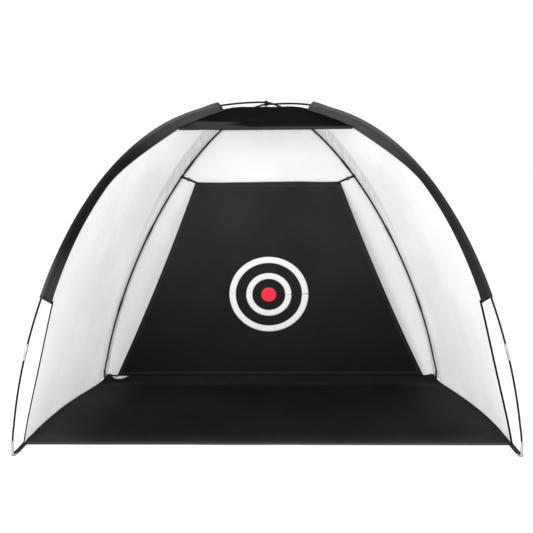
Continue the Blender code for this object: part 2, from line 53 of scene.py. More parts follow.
FRONT_FOOT_X, REAR_FOOT_X, FOOT_Y = 1.0, 0.86, 0.5
CROSS_Y, CROSS_Z, REAR_BOW = 0.06, 1.39, 0.055
FRONT_RISE, FRONT_FALL = 2.53, 1 / 1.57
REAR_RISE, REAR_FALL = 1.53, 1 / 1.44
POLE_R, FERRULE_R, FERRULE_LENGTH, SECTIONS, SECTION_GAP = 0.004, 0.0055, 0.067, 9, 0.0016
CROSS_LIFT, CROSS_REACH = POLE_R + 0.0004, 0.12
TIP_TOP_Z = 0.0602
RING_R, RING_WIRE_R, RING_RISE = 0.0095, 0.0014, 0.0022
EDGE_V, SLEEVE_LOW_Z, EDGE_PULL, BELLY = 0.13, 0.62, 0.026, 0.045
SLEEVE_TOP_U, SLEEVE_BOTTOM_U = 0.19, 0.877
SLEEVE_LOW_V, SLEEVE_MIDDLE_V, SLEEVE_ROOF_V = 0.118, 0.107, 0.307
ROOF_EDGE_Z, ROOF_RISE = 1.284, 0.091
ROOF_FRONT, ROOF_REAR = Vector((0.366, -0.087, ROOF_EDGE_Z)), Vector((0.196, 0.173, ROOF_EDGE_Z))
FLOOR_REAR_V, FLOOR_INSET, FLOOR_BACK = 0.955, 0.004, 0.036
TARGET_TOP, TARGET_BOTTOM = Vector((0.345, 0.325, 1.036)), Vector((0.79, 0.472, 0.034))
TARGET_HOLLOW, MARK_CENTRE_Z = 0.012, 0.471
HANGER_Z, ADJUSTER_AT, HOOK_EYE_FAR = 1.063, 0.033, 0.0124

# -------------------- sizes of cloth and webbing

CLOTH_THICK, FLOOR_THICK, WEBBING_THICK = 0.0009, 0.001, 0.0011
WEAVE_PITCH, MESH_PITCH, MESH_THREAD, SEWN_PITCH = 0.0016, 0.0021, 0.00034, 0.0024
TUNNEL_R, SEAM, SEAM_EDGE = 0.0072, 0.0195, 0.004
REAR_TUNNEL_R, REAR_SLEEVE_TOP_Z, REAR_SLEEVE_LOW_Z = 0.0088, 1.279, 0.012
STRAP_WIDTH, STRAP_END_WIDTH, STRAP_LOOP_R = 0.0098, 0.0115, 0.0059


def smooth(value):
    value = min(1, max(0, value))
    return value * value * (3 - 2 * value)


def front_pole(u, side):
    """A point on a front pole's middle line, from the crossing at u = 0 to the foot at u = 1."""
    height = CROSS_Z * (1 - u**FRONT_RISE) ** FRONT_FALL
    return Vector((side * FRONT_FOOT_X * u, CROSS_Y - (FOOT_Y + CROSS_Y) * u, height))


def rear_pole(u, side):
    height = CROSS_Z * (1 - u**REAR_RISE) ** REAR_FALL
    bow = REAR_BOW * 6.75 * u * u * (1 - u)
    return Vector((side * REAR_FOOT_X * u, CROSS_Y + (FOOT_Y - CROSS_Y) * u + bow, height))


def front_u(z):
    return (1 - (z / CROSS_Z) ** (1 / FRONT_FALL)) ** (1 / FRONT_RISE)


def rear_u(z):
    return (1 - (z / CROSS_Z) ** (1 / REAR_FALL)) ** (1 / REAR_RISE)


def shell_side(z, v, side):
    """A point on the side wall at a height, from the front pole at v = 0 to the rear pole at v = 1."""
    place = front_pole(front_u(z), side).lerp(rear_pole(rear_u(z), side), v)
    low = max(0, 1 - z / 0.6)
    place.x += side * BELLY * low * low * math.sin(math.pi * v)
    place.x -= side * EDGE_PULL * math.sin(math.pi * min(z / SLEEVE_LOW_Z, 1)) * (1 - v) ** 3
    return place


def sleeve_v(z):
    """How far back the front sleeve's inner edge is at a height."""
    narrower = (SLEEVE_MIDDLE_V - SLEEVE_LOW_V) * smooth((z - 0.56) / 0.38)
    wider = (SLEEVE_ROOF_V - SLEEVE_MIDDLE_V) * smooth((z - 1.05) / 0.26)
    return SLEEVE_LOW_V + narrower + wider


def net_edge_v(z):
    if z > SLEEVE_LOW_Z:
        return sleeve_v(z)
    return EDGE_V + (sleeve_v(SLEEVE_LOW_Z) - EDGE_V) * z / SLEEVE_LOW_Z


def target_point(across, down):
    """A point on the target sheet: across from -1 to 1, and down from 0 at its top to 1."""
    edge = TARGET_TOP.lerp(TARGET_BOTTOM, down)
    half = edge.x - TARGET_HOLLOW * 4 * down * (1 - down)
    return Vector((half * across, edge.y, edge.z))


def pole_path(front_side, lift):
    """Points along a pole, foot to foot: lifted where it crosses the other one, and upright in its tips."""
    steps = [math.sin(math.pi / 2 * i / 600) for i in range(601)]
    points = [front_pole(u, front_side) for u in reversed(steps)]
    points += [rear_pole(u, -front_side) for u in steps[1:]]
    front, rear = points[0].copy(), points[-1].copy()
    for place in points:
        away = math.hypot(place.x, place.y - CROSS_Y)
        place.z += lift * math.exp(-((away / CROSS_REACH) ** 2))
        foot = front if place.y < CROSS_Y else rear
        upright = max(0, 1 - place.z / (2 * TIP_TOP_Z))
        place.x += (foot.x - place.x) * upright
        place.y += (foot.y - place.y) * upright
    return points


SHEET_SLOPE = target_point(0, 0) - target_point(0, 1)
SHEET_LENGTH = SHEET_SLOPE.length
SHEET_UP = SHEET_SLOPE.normalized()
SHEET_OUT = RIGHT.cross(SHEET_UP)

# -------------------- small helpers


def ripple(place, scale, seed):
    """Smooth noise from about -1 to 1."""
    return noise.noise(place * scale + Vector((7.31 * seed, 3.17 * seed, 1.73 * seed)))


def square_to(tangent, direction):
    return (direction - tangent * direction.dot(tangent)).normalized()


def facing(vector, direction):
    """The vector or its opposite, whichever points more in the direction."""
    return vector if vector.dot(direction) > 0 else -vector


def tangents_of(points):
    last = len(points) - 1
    return [(points[min(i + 1, last)] - points[max(i - 1, 0)]).normalized() for i in range(last + 1)]


def carried(start, tangents):
    """One direction square to each tangent, carried along without twisting."""
    normals = [square_to(tangents[0], start)]
    for tangent in tangents[1:]:
        normals.append(square_to(tangent, normals[-1]))
    return normals


def lengths(points):
    runs = [0.0]
    for a, b in zip(points, points[1:]):
        runs.append(runs[-1] + (b - a).length)
    return runs


def at_run(points, runs, distance):
    """The point that far along a line of points, whose runs are its lengths."""
    distance = min(max(distance, 0), runs[-1])
    low, high = 0, len(runs) - 1
    while high - low > 1:
        middle = (low + high) // 2
        if runs[middle] <= distance:
            low = middle
        else:
            high = middle
    share = (distance - runs[low]) / (runs[high] - runs[low])
    return points[low].lerp(points[high], share)


def arc(centre, first, second, radius, degrees):
    """Points on a circle at each of those degrees, turning from the first direction to the second."""
    turns = [math.radians(d) for d in degrees]
    return [centre + (first * math.cos(turn) + second * math.sin(turn)) * radius for turn in turns]


# -------------------- making pieces


def in_scene(name, data):
    made = bpy.data.objects.new(name, data)
    bpy.context.scene.collection.objects.link(made)
    return made


def piece(name, nodes, verts, faces, finish, body="frame", **maps):
    """A mesh object that rides on a body in place of CAD nodes, named with spaces between them. maps are UV maps
    with one (u, v) in metres for each vertex."""
    mesh = bpy.data.meshes.new(name)
    mesh.from_pydata([tuple(v) for v in verts], [], faces)
    for label, values in maps.items():
        layer = mesh.uv_layers.new(name=label)
        for loop in mesh.loops:
            layer.data[loop.index].uv = values[loop.vertex_index]
    mesh.shade_smooth()
    made = in_scene(name, mesh)
    mesh.materials.append(finish.material)
    if body:
        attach(made, body)
    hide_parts(*nodes.split())
    return made


def grid_faces(across, along, close_across=False):
    """Faces of a grid whose vertices run across first."""
    wide = across if close_across else across + 1
    faces = []
    for j in range(along):
        for i in range(across):
            k = (i + 1) % wide
            faces.append((j * wide + i, j * wide + k, (j + 1) * wide + k, (j + 1) * wide + i))
    return faces


def capped_faces(around, along):
    """Faces of a grid that closes on itself, with a face over each end."""
    last = around * (along + 1)
    ends = [tuple(reversed(range(around))), tuple(range(last - around, last))]
    return grid_faces(around, along, close_across=True) + ends


def thicken(made, thickness):
    solid = made.modifiers.new("thickness", "SOLIDIFY")
    solid.thickness = thickness
    solid.offset = 0
    return made


def round_edges(made, width, segments):
    rounded = made.modifiers.new("rounded", "BEVEL")
    rounded.width = width
    rounded.segments = segments
    return rounded


def sheet_of_rows(name, nodes, rows, finish, body="frame", middle=0, zero=0, seam=None):
    """A sheet from rows of points. Its UV maps are in metres: cloth is for the weave, with u from column zero and v
    along column middle. edges holds how far each point is from the nearer side edge and the nearer end. Where the
    cloth is sewn back on itself at column seam, that seam counts as its first side edge."""
    ends = lengths([row[middle] for row in rows])
    weave, edges = [], []
    for row, run in zip(rows, ends):
        runs = lengths(row)
        for r in runs:
            weave.append((r - runs[zero], run))
            first = r if seam is None else abs(r - runs[seam]) + SEAM_EDGE
            edges.append((min(first, runs[-1] - r), min(run, ends[-1] - run)))
    verts = [place for row in rows for place in row]
    faces = grid_faces(len(rows[0]) - 1, len(rows) - 1)
    return piece(name, nodes, verts, faces, finish, body, cloth=weave, edges=edges)


def cloth(name, nodes, across, along, surface, finish, body="frame", thickness=0.0):
    """A sheet laid on surface(a, b), where a goes from 0 to 1 across it and b along it."""
    rows = [[surface(i / across, j / along) for i in range(across + 1)] for j in range(along + 1)]
    made = sheet_of_rows(name, nodes, rows, finish, body, across // 2, across // 2)
    return thicken(made, thickness) if thickness else made


def tube(name, nodes, points, radius, finish, body="frame", segments=20, flat=1.0, towards=None, closed=False):
    """A round bar along points. radius is a number or one for each point; flat squeezes it square to towards."""
    tangents = tangents_of(points)
    if closed:
        tangents[0] = tangents[-1] = (points[1] - points[-2]).normalized()
    normals = [square_to(t, towards) for t in tangents] if towards else carried(Vector((0.31, 0.17, 0.93)), tangents)
    radii = radius if isinstance(radius, list) else [radius] * len(points)
    verts, weave = [], []
    for place, tangent, normal, size, run in zip(points, tangents, normals, radii, lengths(points)):
        degrees = [360 * k / segments for k in range(segments)]
        verts += arc(place, normal, tangent.cross(normal) * flat, size, degrees)
        weave += [(math.radians(d) * size, run) for d in degrees]
    steps = len(points) - 1
    faces = grid_faces(segments, steps, True) if closed else capped_faces(segments, steps)
    return piece(name, nodes, verts, faces, finish, body, cloth=weave, edges=weave)


def ribbon(name, nodes, points, across, widths, body="frame"):
    """Webbing of the given widths along points; across is its width direction, one vector or one for each point."""
    columns = 6
    runs = lengths(points)
    directions = across if isinstance(across, list) else [across] * len(points)
    verts, weave, edges = [], [], []
    for place, tangent, direction, width, run in zip(points, tangents_of(points), directions, widths, runs):
        out = square_to(tangent, direction)
        for k in range(columns + 1):
            shift = (k / columns - 0.5) * width
            verts.append(place + out * shift)
            weave.append((shift, run))
            edges.append((width / 2 - abs(shift), min(run, runs[-1] - run)))
    faces = grid_faces(columns, len(points) - 1)
    made = piece(name, nodes, verts, faces, black_webbing, body, cloth=weave, edges=edges)
    thicken(made, WEBBING_THICK)
    rounded = round_edges(made, WEBBING_THICK * 0.3, 2)
    rounded.limit_method = "ANGLE"
    rounded.angle_limit = math.radians(50)
    return made


def turned(name, nodes, profile, foot, finish, body="frame", steps=40):
    """A turned piece that stands on foot, from (radius, height) pairs."""
    verts, weave = [], []
    for radius, height in profile:
        degrees = [360 * k / steps for k in range(steps)]
        verts += arc(foot + UP * height, RIGHT, BACKWARDS, radius, degrees)
        weave += [(math.radians(d) * max(radius, 0.001), height) for d in degrees]
    faces = capped_faces(steps, len(profile) - 1)
    made = piece(name, nodes, verts, faces, finish, body, cloth=weave, edges=weave)
    sharp = made.modifiers.new("sharp", "EDGE_SPLIT")
    sharp.split_angle = math.radians(38)
    return made


def slider(name, body, matrix):
    """An adjuster's slider: a rounded block with a channel along its Z for the strap."""
    length, width, height = 0.0166, 0.0064, 0.0122
    channel_length, channel_width = 0.0134, 0.0038
    xs = (-length / 2, -channel_length / 2, channel_length / 2, length / 2)
    ys = (-width / 2, -channel_width / 2, channel_width / 2, width / 2)
    verts = [matrix @ Vector((x, y, z)) for x in xs for y in ys for z in (-height / 2, height / 2)]
    cells = [(i, j) for i in range(3) for j in range(3) if (i, j) != (1, 1)]
    faces = []
    for i, j in cells:
        ring = [(i, j), (i + 1, j), (i + 1, j + 1), (i, j + 1)]
        low, high = [[8 * a + 2 * b + end for a, b in ring] for end in (0, 1)]
        faces += [tuple(reversed(low)), tuple(high)]
        for k, beside in enumerate(((i, j - 1), (i + 1, j), (i, j + 1), (i - 1, j))):
            if beside not in cells:
                faces.append((low[k], low[(k + 1) % 4], high[(k + 1) % 4], high[k]))
    made = piece(name, body, verts, faces, black_plastic, body)
    made.data.shade_flat()
    round_edges(made, 0.0006, 3)


# -------------------- materials


class Finish:
    """A material, the slot it stands for, and short ways to add nodes to it."""

    def __init__(self, name, slot, roughness, metallic=0.0, specular=0.5):
        self.slot = slot
        self.material = bpy.data.materials.new(name)
        self.material.use_nodes = True
        self.tree = self.material.node_tree
        self.shader = self.tree.nodes["Principled BSDF"]
        self.set("Roughness", roughness)
        self.set("Metallic", metallic)
        self.set("Specular IOR Level", specular)
        self.place = self.node("ShaderNodeTexCoord").outputs["Object"]
        self.bump_chain = None
        self.colour = None

    def feed(self, socket, value):
        """Links a socket to another one, or gives it a number or a colour."""
        if isinstance(value, bpy.types.NodeSocket):
            self.tree.links.new(value, socket)
        else:
            socket.default_value = (*value, 1) if isinstance(value, tuple) else value

    def set(self, socket, value):
        self.feed(self.shader.inputs[socket], value)

    def node(self, kind, inputs=None, **settings):
        made = self.tree.nodes.new(kind)
        for key, value in settings.items():
            setattr(made, key, value)
        for key, value in (inputs or {}).items():
            self.feed(made.inputs[key], value)
        return made

    def split(self, vector):
        return self.node("ShaderNodeSeparateXYZ", {0: vector}).outputs

    def join(self, x, y):
        return self.node("ShaderNodeCombineXYZ", {0: x, 1: y}).outputs[0]

    def uv(self, label):
        return self.split(self.node("ShaderNodeUVMap", uv_map=label).outputs[0])[:2]

    def height(self):
        return self.split(self.place)[2]

    def math(self, kind, a, b=0.0, clamp=False):
        return self.node("ShaderNodeMath", {0: a, 1: b}, operation=kind, use_clamp=clamp).outputs[0]

    def times(self, a, b):
        return self.math("MULTIPLY", a, b)

    def ramp(self, value, low, high, start=0.0, end=1.0):
        """Goes smoothly from start to end while the value goes from low to high."""
        inputs = {"Value": value, "From Min": low, "From Max": high, "To Min": start, "To Max": end}
        return self.node("ShaderNodeMapRange", inputs, interpolation_type="SMOOTHSTEP").outputs[0]

    def noise(self, scale, detail=3.0, stretch=(1, 1, 1), source=None):
        mapping = self.node("ShaderNodeMapping", {0: source or self.place})
        mapping.inputs["Scale"].default_value = stretch
        inputs = {"Scale": scale, "Detail": detail, "Vector": mapping.outputs[0]}
        return self.node("ShaderNodeTexNoise", inputs).outputs[0]

    def mix(self, factor, a, b):
        a, b = (grey(c) if isinstance(c, float) else c for c in (a, b))
        return self.node("ShaderNodeMix", {"Factor": factor, 6: a, 7: b}, data_type="RGBA").outputs[2]

    def over(self, factor, colour):
        """Lays a colour or a grey level over the colour so far."""
        self.colour = self.mix(factor, self.colour, colour)

    def bump(self, height, strength, distance):
        made = self.node("ShaderNodeBump", {"Strength": strength, "Distance": distance, "Height": height})
        if self.bump_chain is not None:
            self.feed(made.inputs["Normal"], self.bump_chain)
        self.bump_chain = made.outputs[0]
        self.set("Normal", self.bump_chain)

    def wave(self, value, pitch):
        """A sine of the value, one full wave each pitch."""
        return self.math("SINE", self.times(value, 2 * math.pi / pitch))

    def near(self, value, centre, half, soft):
        """1 where the value is within half of centre, fading over soft."""
        away = self.math("ABSOLUTE", self.math("SUBTRACT", value, centre))
        return self.ramp(away, half, half + soft, 1.0, 0.0)

    def stitches(self, away, along, distance, pitch=0.005):
        """A row of stitches that far from an edge, running along it."""
        dash = self.ramp(self.wave(along, pitch), -0.35, 0.1)
        return self.times(self.near(away, distance, 0.0006, 0.0005), dash)


def grey(level, warm=0.0):
    return (level * (1 + warm), level, level * (1 - warm))


def scaled(colour, share):
    return tuple(share * c for c in colour)


def woven(
    name, slot, dark, light, hem=(0.0, 0.0), rows=(), creases=0.35, crease_scale=5.0, specular=0.03,
    top=0.0, edge=0.0, heights=(), shade=0.0, streaks=0.0,
):
    """Plain-woven polyester between two grey levels. hem is the hem's width at the sides and at the ends, and rows
    holds stitch lines as ("side" or "end", distance from that edge). top is the level of a painted highlight on what
    faces up, edge that of a painted highlight along the edges and streaks that of painted highlights on folds.
    heights holds fades as (z where one starts, z where it is full, its level), and shade says how far painted shade
    darkens the cloth towards the ground."""
    rough = 0.72
    f = Finish(name, slot, rough, specular=specular)
    u, v = f.uv("cloth")
    side, end = f.uv("edges")
    threads = f.times(f.wave(u, 2 * WEAVE_PITCH), f.wave(v, 2 * WEAVE_PITCH))
    broad = f.noise(2.3, 4.0)
    fine = f.noise(260.0, 2.0)
    f.colour = f.mix(f.ramp(broad, 0.3, 0.7), dark, light)
    f.over(f.ramp(fine, 0.35, 0.75, 0.0, 0.35), 1.5 * light)
    f.over(f.ramp(threads, -0.9, 0.9, 0.0, 0.3), 0.55 * dark)
    # Painted highlight: lighter where the surface faces up.
    if top:
        facing = f.split(f.node("ShaderNodeNewGeometry").outputs["Normal"])
        f.over(f.ramp(facing[2], 0.3, 0.8), top)
    # Painted shade: the cloth darkens towards the ground.
    if shade:
        dim = f.times(f.ramp(f.height(), 0.0, 0.95, shade, 0.0), f.ramp(broad, 0.1, 0.5, 0.8, 1.0))
        f.over(dim, 0.002)
    # Painted highlights along the folds, stronger near the ends.
    if streaks:
        lines = f.ramp(f.noise(9.0, 4.0, (0.25, 3.0, 3.0)), 0.52, 0.66)
        f.over(f.times(lines, f.ramp(end, 0.01, 0.11, 1.0, 0.15)), streaks)
    # Painted highlight along the side edges and the ends.
    if edge:
        edge_highlight = f.math("ADD", f.ramp(side, 0.0, 0.32, 1.0, 0.0), f.ramp(end, 0.0, 0.12, 0.8, 0.0), clamp=True)
        f.over(f.times(edge_highlight, f.ramp(broad, 0.25, 0.65, 0.35, 1.0)), edge)
    # Fades by height; on the sleeves these are painted highlights and painted light.
    for start, full, level in heights:
        f.over(f.times(f.ramp(f.height(), start, full), f.ramp(broad, 0.2, 0.65, 0.55, 1.0)), level)
    f.bump(f.noise(crease_scale, 5.0, (1.0, 1.0, 0.55)), creases, 0.02)
    f.bump(f.noise(38.0, 3.0), 0.12, 0.004)
    for width, away in zip(hem, (side, end)):
        if width:
            step = f.ramp(away, width, width + 0.0012, 1.0, 0.0)
            f.bump(step, 0.55, 0.0012)
            f.over(f.times(step, 0.3), 1.25 * light)
    for which, distance in rows:
        away, along = (side, v) if which == "side" else (end, u)
        row = f.stitches(away, along, distance)
        f.over(f.times(row, 0.55), 2.6 * light + 0.012)
        f.bump(f.near(away, distance, 0.0008, 0.0022), -0.35, 0.0012)
        f.bump(row, 0.5, 0.0006)
    f.bump(threads, 0.22, 0.0004)
    f.set("Base Color", f.colour)
    f.set("Roughness", f.ramp(fine, 0.2, 0.8, rough - 0.08, rough + 0.1))
    return f


def mesh_cloth(name, light, shade, hole, rows, creases=0.25, pleat_shade=0.0):
    """Knitted mesh between two grey levels: its holes show what is behind, by the share hole, and its threads let
    light through. rows holds stitch lines, its folds are darkened with painted shade, and the last argument says how
    much painted shade darkens the pleats near its top."""
    f = Finish(name, "white_mesh", 0.8, specular=0.25)
    weave = f.node("ShaderNodeUVMap", uv_map="cloth").outputs[0]
    inputs = {"Scale": 1 / MESH_PITCH, "Randomness": 0.35, "Vector": weave}
    cells = f.node("ShaderNodeTexVoronoi", inputs, feature="DISTANCE_TO_EDGE", voronoi_dimensions="2D")
    open_share = f.ramp(cells.outputs["Distance"], MESH_THREAD / MESH_PITCH, 1.9 * MESH_THREAD / MESH_PITCH)
    folds = f.noise(7.0, 5.0, (1.0, 1.0, 0.4))
    f.colour = f.mix(f.ramp(f.noise(3.1, 4.0), 0.3, 0.7), shade, light)
    # Painted shade: darker in the folds.
    f.over(f.ramp(folds, 0.42, 0.6, 0.0, 0.16), 0.8 * shade)
    side, end = f.uv("edges")
    u, v = f.uv("cloth")
    # Painted shade: darker pleats near the top.
    if pleat_shade:
        skewed = f.join(f.math("ADD", v, f.times(u, 0.9)), u)
        pleat = f.ramp(f.noise(75.0, 2.0, (1.0, 0.1, 1.0), skewed), 0.36, 0.72)
        near_top = f.ramp(f.height(), 0.8, 1.16, 0.15, 1.0)
        f.over(f.times(pleat, f.times(near_top, pleat_shade)), 0.55 * shade)
        f.bump(pleat, 0.4, 0.002)
    solid = None
    for which, distance in rows:
        away, along = (side, v) if which == "side" else (end, u)
        f.over(f.times(f.stitches(away, along, distance, 0.006), 0.5), 0.55 * shade)
        seam = f.near(away, distance, 0.0035, 0.001)
        f.over(f.times(seam, 0.22), 0.7 * shade)
        f.bump(f.near(away, distance, 0.001, 0.003), -0.4, 0.0015)
        solid = seam if solid is None else f.math("MAXIMUM", solid, seam)
    f.bump(folds, creases, 0.02)
    f.bump(open_share, -0.3, 0.0003)
    f.set("Base Color", f.colour)
    f.set("Sheen Weight", 0.08)
    seen = f.times(f.times(open_share, 1 - hole), f.math("SUBTRACT", 1.0, solid))
    f.set("Alpha", f.math("SUBTRACT", 1.0, seen))
    through = f.node("ShaderNodeBsdfTranslucent", {"Color": f.colour}).outputs[0]
    clear = f.node("ShaderNodeBsdfTransparent").outputs[0]
    lit = f.node("ShaderNodeMixShader", {0: seen, 1: through, 2: clear}).outputs[0]
    both = f.node("ShaderNodeMixShader", {0: 0.3, 1: f.shader.outputs[0], 2: lit}).outputs[0]
    f.feed(f.tree.nodes["Material Output"].inputs["Surface"], both)
    return f


def webbing(name, dark, light):
    """Ribbed webbing with a raised middle, bound edges and a row of stitches near each end."""
    f = Finish(name, "black_webbing", 0.62, specular=0.04)
    u, v = f.uv("cloth")
    side, end = f.uv("edges")
    zigzag = f.math("ABSOLUTE", f.wave(u, 0.0064))
    ribs = f.wave(f.math("ADD", v, f.times(zigzag, 0.0011)), 0.0013)
    f.colour = f.mix(f.ramp(ribs, -0.8, 0.8), dark, light)
    f.over(f.ramp(f.noise(180.0), 0.4, 0.8, 0.0, 0.4), light * 1.7)
    f.over(f.times(f.stitches(end, u, 0.004, 0.0022), 0.6), 0.09)
    f.bump(ribs, 0.5, 0.0004)
    f.bump(f.ramp(side, 0.0, 0.0012), 0.4, 0.0005)
    f.bump(f.noise(60.0), 0.15, 0.001)
    f.set("Base Color", f.colour)
    f.set("Sheen Weight", 0.03)
    return f


def sewn(name, slot, dark, light):
    """Appliqué cloth with close rows of stitching that run round it; its UV map is (radius, arc)."""
    f = Finish(name, slot, 0.62, specular=0.4)
    radius, around = f.uv("cloth")
    side = f.uv("edges")[0]
    rows = f.wave(radius, SEWN_PITCH)
    threads = f.times(f.wave(around, 0.003), rows)
    f.colour = f.mix(f.ramp(rows, -0.9, 0.7), dark, light)
    f.over(f.ramp(threads, 0.1, 1.0, 0.0, 0.3), scaled(dark, 0.8))
    f.over(f.ramp(f.noise(90.0), 0.45, 0.75, 0.0, 0.25), scaled(dark, 0.75))
    edge = f.near(side, 0.0017, 0.001, 0.0006)
    zigzag = f.ramp(f.wave(around, 0.0028), -0.2, 0.4)
    f.over(f.times(f.times(edge, zigzag), 0.4), scaled(dark, 0.6))
    f.bump(rows, 0.35, 0.0005)
    f.bump(edge, 0.5, 0.0006)
    f.bump(f.noise(45.0), 0.2, 0.002)
    f.set("Base Color", f.colour)
    f.set("Sheen Weight", 0.2)
    return f


def fibreglass(name):
    """Pultruded rod: fine streaks along it under a satin resin skin, scuffed a little."""
    f = Finish(name, "pole_fibreglass", 0.45, specular=0.1)
    streaks = f.noise(900.0, 2.0, (1.0, 0.02, 1.0), f.join(*f.uv("cloth")))
    wear = f.noise(28.0, 5.0)
    f.colour = f.mix(f.ramp(streaks, 0.3, 0.7), 0.003, 0.009)
    f.over(f.ramp(wear, 0.6, 0.74, 0.0, 0.5), 0.03)
    f.bump(streaks, 0.15, 0.0002)
    f.set("Base Color", f.colour)
    f.set("Roughness", f.ramp(wear, 0.35, 0.7, 0.38, 0.55))
    return f


def metal(name, slot, dark, light, rough):
    """Drawn metal: fine lines round it and duller patches."""
    f = Finish(name, slot, rough, metallic=1.0)
    lines = f.noise(700.0, 2.0, (0.04, 1.0, 1.0), f.join(*f.uv("cloth")))
    patches = f.noise(70.0, 4.0)
    f.bump(lines, 0.12, 0.0002)
    f.set("Base Color", f.mix(f.ramp(patches, 0.3, 0.7), grey(dark, 0.01), grey(light, 0.01)))
    f.set("Roughness", f.ramp(patches, 0.3, 0.75, rough - 0.06, rough + 0.16))
    return f


def plastic(name):
    """Moulded plastic with a fine grain, worn a little lighter in places."""
    f = Finish(name, "adjuster_plastic", 0.45, specular=0.5)
    wear = f.noise(120.0, 4.0)
    f.set("Base Color", f.mix(f.ramp(wear, 0.4, 0.75), 0.014, 0.035))
    f.bump(f.noise(900.0, 2.0), 0.25, 0.0002)
    f.set("Roughness", f.ramp(wear, 0.3, 0.7, 0.38, 0.55))
    return f


# Lit and shaded copies of one sleeve cloth. For each side, the first number scales the cloth: painted shade darkens
# the left sleeve and painted light brightens the right one. The second number is a painted light on the lower part
# of each sleeve, stronger on the left, and the last two heights bound a painted highlight on the upper part.
sleeve_cloths = {
    label: woven(
        f"sleeve_cloth_{label}", "shell_cloth", 0.010 * painted_light_scale, 0.017 * painted_light_scale, hem=(0.0, 0.011),
        rows=(("end", 0.008), ("side", 0.004)), creases=0.3, specular=0.08,
        heights=((highlight_from, highlight_to, 0.06), (0.85, 0.66, painted_foot_light)),
    )
    for label, painted_light_scale, painted_foot_light, highlight_from, highlight_to in (
        ("left", 0.55, 0.05, 1.14, 1.33),
        ("right", 1.15, 0.02, 1.03, 1.28),
    )
}
# Darker than the sleeves' cloth of the same slot: painted shade on the roof. streaks adds painted highlights along
# its folds.
roof_cloth = woven(
    "roof_cloth", "shell_cloth", 0.003, 0.006, rows=(("side", 0.006), ("end", 0.012)), creases=0.5, specular=0.01,
    streaks=0.03,
)
# edge is a painted highlight along the floor's edges and ends.
floor_cloth = woven(
    "floor_cloth", "floor_cloth", 0.0062, 0.0102, hem=(0.012, 0.0), rows=(("side", 0.009), ("end", 0.02)),
    creases=0.3, edge=0.026, heights=((0.003, 0.014, 0.0078),),
)
# shade paints shade that darkens the sheet towards the ground.
target_cloth = woven(
    "target_cloth", "target_cloth", 0.0125, 0.0205, hem=(0.02, 0.024), rows=(("side", 0.017), ("end", 0.021)),
    creases=0.22, crease_scale=3.2, specular=0.06, shade=0.7,
)
# top is a painted highlight on the hem's upper face.
hem_cloth = woven("hem_cloth", "floor_cloth", 0.006, 0.012, creases=0.2, top=0.05)
roof_hem_cloth = woven("roof_hem_cloth", "shell_cloth", 0.016, 0.028, creases=0.2)
binding_cloth = woven("binding_cloth", "shell_cloth", 0.003, 0.006, creases=0.1, specular=0.01)
NET_ROWS = (("side", 0.005), ("end", 0.006))
SLEEVE_ROWS = (("side", 0.004), ("side", 0.028))
white_mesh = mesh_cloth("white_mesh", 0.85, 0.79, 0.55, NET_ROWS)
# A darker copy of the white mesh for the back net: painted shade.
shaded_back_mesh = mesh_cloth("shaded_back_mesh", 0.77, 0.73, 0.5, NET_ROWS)
# The rear sleeves' mesh, with painted shade in its pleats near the top.
sleeve_mesh = mesh_cloth("sleeve_mesh", 0.84, 0.76, 0.8, SLEEVE_ROWS, creases=0.7, pleat_shade=0.75)
black_webbing = webbing("black_webbing", 0.004, 0.011)
white_sewn = sewn("white_sewn", "white_cloth", grey(0.58), grey(0.8))
red_sewn = sewn("red_sewn", "red_cloth", (0.6, 0.006, 0.025), (0.86, 0.012, 0.048))
rod_finish = fibreglass("fibreglass")
silver = metal("tip_metal", "tip_metal", 0.36, 0.42, 0.5)
dark_metal = metal("dark_metal", "tip_metal", 0.03, 0.05, 0.45)
wire_metal = metal("wire_metal", "ring_metal", 0.24, 0.38, 0.25)
black_plastic = plastic("black_plastic")


# -------------------- poles

# The end of a ferrule with its rolled groove: how far in, and the radius there.
FERRULE_END = (
    (0.0, POLE_R + 0.00015), (0.0004, FERRULE_R - 0.0003), (0.001, FERRULE_R), (0.0085, FERRULE_R),
    (0.0095, FERRULE_R - 0.0005), (0.0115, FERRULE_R - 0.0005), (0.0125, FERRULE_R),
)
# A pole's end tip, from the top of its bore for the ring's pin, down and out and up its outside: radius, height.
TIP_PROFILE = (
    (0.0001, 0.026), (0.0022, 0.026), (0.0022, 0.0055), (0.0027, 0.005), (0.0042, 0.005), (0.0050, 0.0062),
    (0.0052, 0.0085), (0.0052, 0.046), (0.0049, 0.0466), (0.0049, 0.0486), (0.0052, 0.0492), (0.0052, 0.0588),
    (0.0048, 0.06), (0.0038, TIP_TOP_Z), (0.0001, TIP_TOP_Z),
)
PIN_PROFILE = ((0.0001, 0.0219), (0.0010, 0.0217), (0.0016, 0.0205), (0.0016, 0.0012), (0.0001, 0.0011))


def make_pole(letter, front_side, lift):
    points = pole_path(front_side, lift)
    runs = lengths(points)
    pitch = runs[-1] / SECTIONS
    steps = 26
    tip_run = next(run for place, run in zip(points, runs) if place.z > TIP_TOP_Z + 0.0003)
    for i in range(SECTIONS):
        start = tip_run if i == 0 else i * pitch + SECTION_GAP / 2
        end = runs[-1] - tip_run if i == SECTIONS - 1 else (i + 1) * pitch - SECTION_GAP / 2
        line = [at_run(points, runs, start + (end - start) * k / steps) for k in range(steps + 1)]
        tube(f"pole_{letter}_rod_{i + 1}", f"pole_{letter}_section_{i + 1}", line, POLE_R, rod_finish)
    for i in range(1, SECTIONS):
        profile = [(i * pitch - FERRULE_LENGTH / 2 + away, radius) for away, radius in FERRULE_END]
        profile += [(2 * i * pitch - run, radius) for run, radius in reversed(profile)]
        line = [at_run(points, runs, run) for run, _ in profile]
        radii = [radius for _, radius in profile]
        finish = silver if i < SECTIONS / 2 else dark_metal
        tube(f"pole_{letter}_ferrule_{i}", f"pole_{letter}_section_{i}", line, radii, finish, segments=28)


